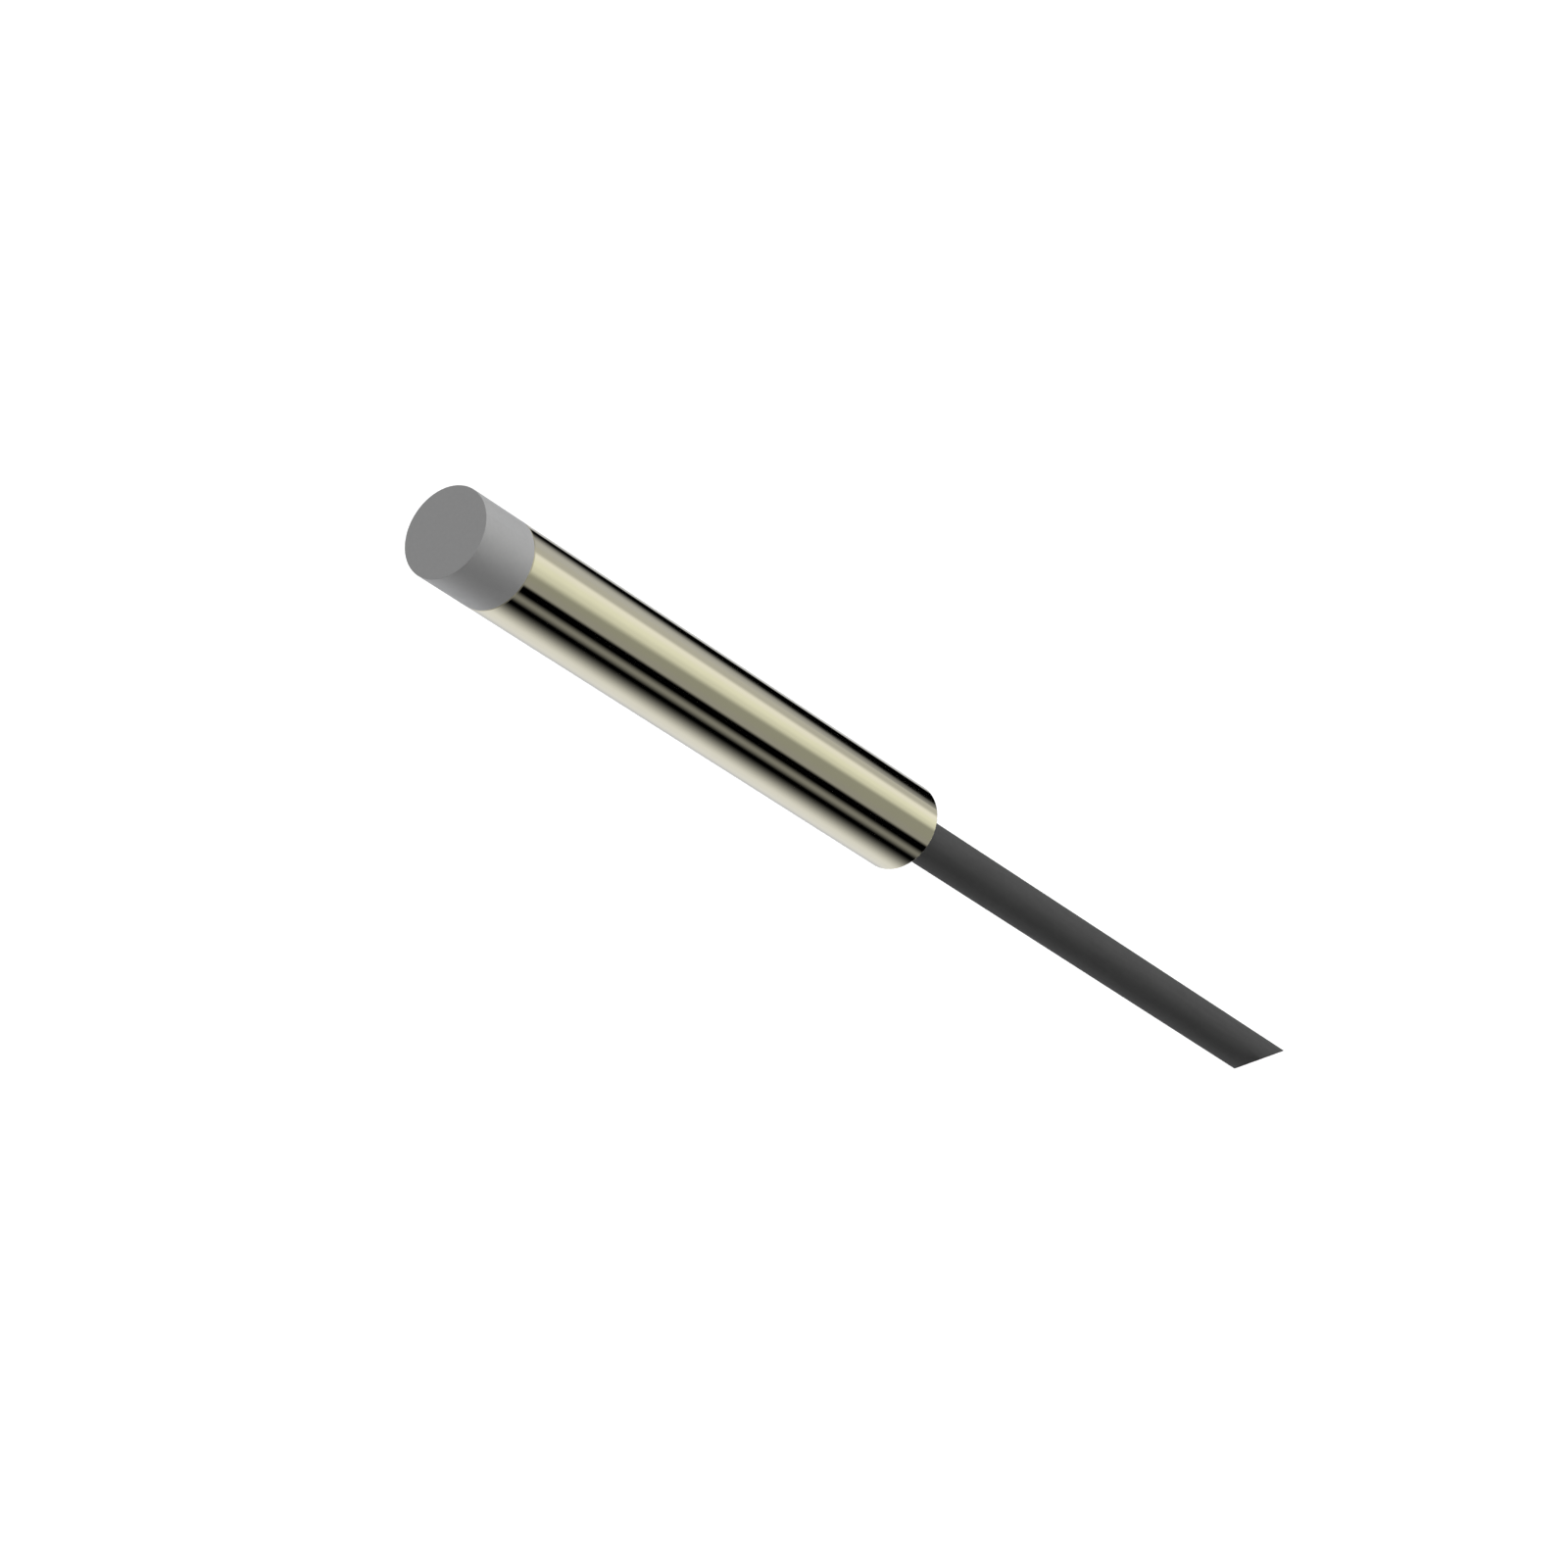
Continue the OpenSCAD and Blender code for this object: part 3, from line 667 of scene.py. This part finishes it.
def plain_plastic(name, colour, roughness, grain=0.1 * MM, coat=0.0):
    """Moulded or cast plastic, resin or rubber with a fine grain."""
    finish = Finish(name, colour, roughness, coat=coat)
    finish.vary_colour(finish.noise(6 * grain, detail=3), amount=0.06)
    finish.vary_roughness(finish.noise(4 * grain), low=0.9 * roughness, high=1.1 * roughness)
    finish.bump(finish.noise(grain, detail=3), depth=0.03 * grain)
    return finish.material


def metal(name, colour, roughness, grain=0.15 * MM, stretch=(1, 1, 1)):
    """Plain metal with fine marks, drawn out along an axis by stretch."""
    finish = Finish(name, colour, roughness, metallic=1)
    finish.vary_colour(finish.noise(5 * grain, detail=3), amount=0.05)
    finish.vary_roughness(finish.noise(3 * grain), low=0.8 * roughness, high=1.25 * roughness)
    finish.bump(finish.noise(grain, detail=3, stretch=stretch), depth=0.02 * grain)
    return finish.material


def ferrite_ceramic():
    """Sintered ferrite: dark grey with paler grains."""
    grain = 0.06 * MM
    finish = Finish("ferrite", colour=(0.05, 0.05, 0.055), roughness=0.65)
    cells = finish.add("ShaderNodeTexVoronoi")
    cells.inputs["Scale"].default_value = 1 / grain
    finish.link(finish.place, cells.inputs["Vector"])
    from_middle = cells.outputs["Distance"]
    share = finish.spread(from_middle, 0, 1, start=0.1, end=0.9)
    finish.paint(finish.blend(share, first=(0.065, 0.065, 0.07), second=(0.035, 0.035, 0.04)))
    finish.bump(from_middle, depth=4 * MICRON)
    return finish.material


def enamelled_copper():
    """Copper wire under clear reddish enamel."""
    finish = Finish("copper_wire", colour=(0.62, 0.26, 0.10), roughness=0.28, metallic=1, coat=0.6)
    finish.vary_colour(finish.noise(grain=0.5 * MM, detail=3), amount=0.08)
    finish.vary_roughness(finish.noise(grain=0.3 * MM), low=0.24, high=0.34)
    return finish.material


def board_laminate():
    """Green mask on both faces of the board, tan glass fibre on its edges, and a faint weave."""
    mask_depth = 0.02 * MM
    weave_size = 1.2 * MM
    finish = Finish("board", colour=(0.02, 0.13, 0.05), roughness=0.4)
    clouds = finish.spread(finish.noise(grain=0.6 * MM), 0, 1)
    green = finish.blend(clouds, first=(0.018, 0.115, 0.045), second=(0.024, 0.15, 0.06))
    masked = finish.beyond("Y", middle=0, reach=BOARD_HIGH.y - mask_depth)
    finish.paint(finish.blend(masked, first=(0.42, 0.36, 0.2), second=green))
    weave = finish.add("ShaderNodeTexBrick")
    weave.inputs["Scale"].default_value = 1 / weave_size
    finish.link(finish.place, weave.inputs["Vector"])
    finish.bump(weave.outputs["Fac"], depth=2 * MICRON)
    return finish.material


def tinned_chip(name, colour, roughness, axis, middle, reach):
    """A chip's body with tinned metal past its ends."""
    finish = Finish(name, colour, roughness)
    tin = finish.beyond(axis, middle, reach)
    body = finish.shades(finish.noise(grain=0.15 * MM, detail=3), amount=0.1, colour=colour)
    finish.paint(finish.blend(tin, body, TIN))
    finish.link(tin, finish.shader.inputs["Metallic"])
    rough = finish.spread(tin, roughness, TIN_ROUGHNESS, start=0, end=1)
    finish.link(rough, finish.shader.inputs["Roughness"])
    finish.bump(finish.noise(grain=0.05 * MM), depth=1.5 * MICRON)
    return finish.material


# Finishes of the pieces

TIN = (0.62, 0.62, 0.6)
TIN_ROUGHNESS = 0.3
BLACK = (0.015, 0.015, 0.017)
YELLOW = (0.7, 0.38, 0.06)
TAN = (0.48, 0.36, 0.2)
WIRE_COLOURS = {"brown": (0.13, 0.045, 0.015), "blue": (0.012, 0.06, 0.32), "black": (0.012, 0.012, 0.012)}
# Each chip's node, the name, colour and roughness of its body, and how far the body reaches to each side of
# the chip's middle along an axis: what is past it is tinned
CHIP_BODIES = [
    ("sensor_ic", "ic_body", BLACK, 0.5, "X", 1.53 * MM),
    ("output_transistor", "transistor_body", BLACK, 0.5, "Z", 0.68 * MM),
    ("protection_diode", "diode_body", BLACK, 0.5, "X", 0.88 * MM),
    ("filter_capacitor", "tantalum_body", YELLOW, 0.45, "X", 1.62 * MM),
    *((f"chip_capacitor_{i}", f"chip_capacitor_{i}_body", TAN, 0.45, "X", 0.45 * MM) for i in (1, 2, 3)),
    *((f"chip_resistor_{i}", f"chip_resistor_{i}_body", BLACK, 0.35, "X", 0.5 * MM) for i in (1, 2, 3, 4)),
]
SOLDERED = ["coil_solder_1", "coil_solder_2", "brown_solder", "blue_solder", "black_solder", "board_pads"]


def dress(node, material):
    """Gives a CAD node or a scene piece its finish."""
    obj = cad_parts.get(node) or bpy.data.objects[node]
    if not obj.material_slots:
        obj.data.materials.append(material)
    for place in obj.material_slots:
        place.material = material


def dress_housing():
    """Finishes of the barrel, the cap, the cable's sheath and what holds it."""
    dress("barrel", nickel_plate())
    dress("sensing_cap", cap_plastic())
    dress("cable_sheath", sheath_rubber())
    dress("cable_seal", plain_plastic("seal_rubber", colour=(0.02, 0.02, 0.02), roughness=0.7))
    dress("crimp_sleeve", metal("raw_brass", colour=(0.72, 0.5, 0.18), roughness=0.3))
    dress("insulating_sleeve", plain_plastic(
        "insulating_film", colour=(0.55, 0.25, 0.04), roughness=0.25, grain=0.4 * MM, coat=0.4,
    ))
    resin = plain_plastic(
        "potting_resin", colour=(0.02, 0.022, 0.025), roughness=0.22, grain=0.5 * MM, coat=0.3,
    )
    dress("cap_potting", resin)
    dress("rear_potting", resin)


def dress_head():
    """Finishes of the core, its coil and their holder."""
    dress("ferrite_core", ferrite_ceramic())
    dress("coil_bobbin", plain_plastic("bobbin_plastic", colour=(0.8, 0.76, 0.66), roughness=0.5))
    dress("coil_winding", enamelled_copper())
    dress("core_holder", plain_plastic("holder_plastic", colour=(0.03, 0.03, 0.032), roughness=0.5))


def dress_board():
    """Finishes of the circuit board, its print, its chips and its solder."""
    dress("circuit_board", board_laminate())
    dress("board_lines", plain_plastic("masked_copper", colour=(0.035, 0.2, 0.075), roughness=0.38))
    solder = metal("solder", colour=(0.62, 0.62, 0.62), roughness=0.3)
    for node in SOLDERED:
        dress(node, solder)
    for node, name, colour, roughness, axis, reach in CHIP_BODIES:
        low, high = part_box(node)
        middle = (low + high)["XYZ".index(axis)] / 2
        dress(node, tinned_chip(name, colour, roughness, axis, middle, reach))


def dress_wires():
    """Finishes of the wires in the barrel and in the cut."""
    copper = metal("bare_copper", colour=(0.85, 0.4, 0.22), roughness=0.28, stretch=(1, 1, 10))
    for colour, paint in WIRE_COLOURS.items():
        insulation = plain_plastic(f"{colour}_pvc", paint, roughness=0.42)
        dress(f"{colour}_wire_insulation", insulation)
        dress(f"cut_{colour}_insulation", insulation)
        dress(f"{colour}_wire_strands", copper)
        for i in range(OUTER_STRANDS + 1):
            dress(f"cut_{colour}_strand_{i + 1}", copper)


dress_housing()
dress_head()
dress_board()
dress_wires()


# Studio

PLAIN = (1.0, 1.0, 1.0)
COOL = (0.98, 0.99, 1.04)
WARM = (1.0, 1.02, 0.92)
# Three pale walls with dark gaps between them, which only shiny surfaces see: compass angle about Z in
# degrees from +X, brightness, and tint. The last wall goes on past 180 degrees as the first row
WALL = [
    (-180, 0.88, COOL), (-162, 0.89, COOL), (-102.5, 0, PLAIN),
    (-97.5, 0, PLAIN), (-82, 0.245, PLAIN), (-67.5, 0, PLAIN),
    (-55.2, 0, PLAIN), (-46.5, 0.345, PLAIN), (-28, 0.345, WARM), (10, 0.345, WARM), (30, 0, PLAIN),
    (97, 0, PLAIN), (108, 0.64, COOL), (156, 0.64, COOL), (172, 0.82, COOL), (180, 0.88, COOL),
]
# One bright panel in front of them, and how much of its light is left round the compass
PANEL = [
    (-24, 0, PLAIN), (-19, 0.345, WARM), (-4, 0.79, WARM), (9, 0.94, WARM), (22, 1.0, PLAIN),
    (51, 1.0, PLAIN), (75.5, 0, PLAIN),
]
PANEL_LIT = [(24, 1, PLAIN), (36, 0.56, PLAIN), (50, 0.56, COOL)]
# Its sides lean towards its middle as it goes down: the compass angle of the middle, the height in degrees
# where it is as wide as listed, how much it narrows in each degree below that, and its limits as shares
PANEL_MIDDLE = 18.5
PANEL_LEVEL = -47.55
PANEL_LEAN = 0.077
PANEL_NARROWEST = 0.7
PANEL_WIDEST = 1.4
# Between these two heights, in degrees, the walls blend into an even grey ceiling, up to this share
CEILING_STARTS = 5
CEILING_FULL = 30
CEILING_COLOUR = (0.3, 0.3, 0.3)
CEILING_SHARE = 0.55

# What the camera sees behind the object, and the even light on matt surfaces
WHITE = (1, 1, 1)
AMBIENT = (0.43, 0.43, 0.43)

# The floor, and the light that it adds of itself towards the camera
FLOOR_Z = -600 * MM
FLOOR_RADIUS = 12
FLOOR_SIDES = 64
FLOOR_COLOUR = (0.85, 0.85, 0.85)
FLOOR_LIFT = 0.4


def angle_ramp(nodes, degrees, stops):
    """A colour band round the compass with soft steps between its stops."""
    ramp = nodes.add("ShaderNodeValToRGB")
    ramp.color_ramp.interpolation = "EASE"
    marks = ramp.color_ramp.elements
    while len(marks) < len(stops):
        marks.new(0.5)
    for mark, (angle, level, tint) in zip(marks, stops):
        mark.position = (angle + 180) / 360
        mark.color = (*(min(1.0, level * t) for t in tint), 1)
    nodes.link(nodes.maths("MULTIPLY_ADD", degrees, 1 / 360, 0.5, clamp=True), ramp.inputs["Fac"])
    return ramp.outputs["Color"]


def studio_colour(nodes):
    """What shiny surfaces see round the object: the walls, the leaning panel and the ceiling."""
    direction = nodes.add("ShaderNodeSeparateXYZ")
    nodes.link(nodes.add("ShaderNodeTexCoord").outputs["Generated"], direction.inputs["Vector"])
    compass = nodes.maths("DEGREES", nodes.maths("ARCTAN2", direction.outputs["Y"], direction.outputs["X"]))
    height = nodes.maths("DEGREES", nodes.maths("ARCSINE", direction.outputs["Z"]))

    below = nodes.maths("SUBTRACT", PANEL_LEVEL, height)
    width = nodes.maths("MULTIPLY_ADD", below, -PANEL_LEAN, 1.0)
    width = nodes.maths("MINIMUM", nodes.maths("MAXIMUM", width, PANEL_NARROWEST), PANEL_WIDEST)
    from_middle = nodes.maths("SUBTRACT", compass, PANEL_MIDDLE)
    panel_angle = nodes.maths("ADD", nodes.maths("DIVIDE", from_middle, width), PANEL_MIDDLE)
    lit = angle_ramp(nodes, compass, PANEL_LIT)
    panel = nodes.blend(1, angle_ramp(nodes, panel_angle, PANEL), lit, kind="MULTIPLY")
    walls = nodes.blend(1, angle_ramp(nodes, compass, WALL), panel, kind="LIGHTEN")

    share = nodes.spread(height, 0, CEILING_SHARE, CEILING_STARTS, CEILING_FULL, kind="SMOOTHSTEP")
    return nodes.blend(share, walls, CEILING_COLOUR)


def glow(nodes, colour):
    """Light of that colour from all round."""
    background = nodes.add("ShaderNodeBackground")
    nodes.feed(background.inputs["Color"], colour)
    return background.outputs[0]


def make_world():
    """White to the camera, an even pale light to matt surfaces, and a studio's panels to shiny ones."""
    world = bpy.data.worlds.new("studio")
    scene.world = world
    world.use_nodes = True
    world.cycles.sampling_method = "NONE"
    world.node_tree.nodes.clear()
    nodes = Nodes(world.node_tree)
    rays = nodes.add("ShaderNodeLightPath")
    studio = glow(nodes, studio_colour(nodes))
    white = glow(nodes, WHITE)
    light = glow(nodes, AMBIENT)
    for kind, seen in (("Is Glossy Ray", studio), ("Is Transmission Ray", white), ("Is Camera Ray", white)):
        mixer = nodes.add("ShaderNodeMixShader")
        for socket, source in zip(mixer.inputs, (rays.outputs[kind], light, seen)):
            nodes.link(source, socket)
        light = mixer.outputs[0]
    nodes.link(light, nodes.add("ShaderNodeOutputWorld").inputs["Surface"])


def make_floor():
    """A pale floor well below the hanging sensor. It keeps the object's shadow and looks white."""
    rim = circle_points((0, 0), FLOOR_RADIUS, FLOOR_SIDES)
    floor = add_object("floor", [(x, y, FLOOR_Z) for x, y in rim], [ring_face(0, FLOOR_SIDES)])
    floor.visible_glossy = False
    material = bpy.data.materials.new("floor")
    material.use_nodes = True
    material.node_tree.nodes.clear()
    nodes = Nodes(material.node_tree)
    matt = nodes.add("ShaderNodeBsdfDiffuse")
    nodes.feed(matt.inputs["Color"], FLOOR_COLOUR)
    lift = nodes.add("ShaderNodeEmission")
    rays = nodes.add("ShaderNodeLightPath")
    nodes.link(nodes.maths("MULTIPLY", rays.outputs["Is Camera Ray"], FLOOR_LIFT), lift.inputs["Strength"])
    both = nodes.add("ShaderNodeAddShader")
    nodes.link(matt.outputs[0], both.inputs[0])
    nodes.link(lift.outputs[0], both.inputs[1])
    nodes.link(both.outputs[0], nodes.add("ShaderNodeOutputMaterial").inputs["Surface"])
    floor.data.materials.append(material)


def make_lamp(name, compass, height, strength, spread):
    """A wide soft lamp from a compass angle about Z and a height, both in degrees."""
    data = bpy.data.lights.new(name, "SUN")
    data.energy = strength
    data.angle = math.radians(spread)
    lamp = bpy.data.objects.new(name, data)
    turn = math.radians(compass)
    rise = math.radians(height)
    towards = Vector((math.cos(turn) * math.cos(rise), math.sin(turn) * math.cos(rise), math.sin(rise)))
    lamp.rotation_mode = "QUATERNION"
    lamp.rotation_quaternion = towards.to_track_quat("Z", "Y")
    lamp.location = towards
    lamp.visible_glossy = False
    scene.collection.objects.link(lamp)


make_world()
make_floor()
make_lamp("key_lamp", compass=28, height=14, strength=3.4, spread=40)
make_lamp("edge_lamp", compass=-164, height=8, strength=2.3, spread=40)
scene.view_settings.view_transform = "Standard"

bpy.context.view_layer.update()
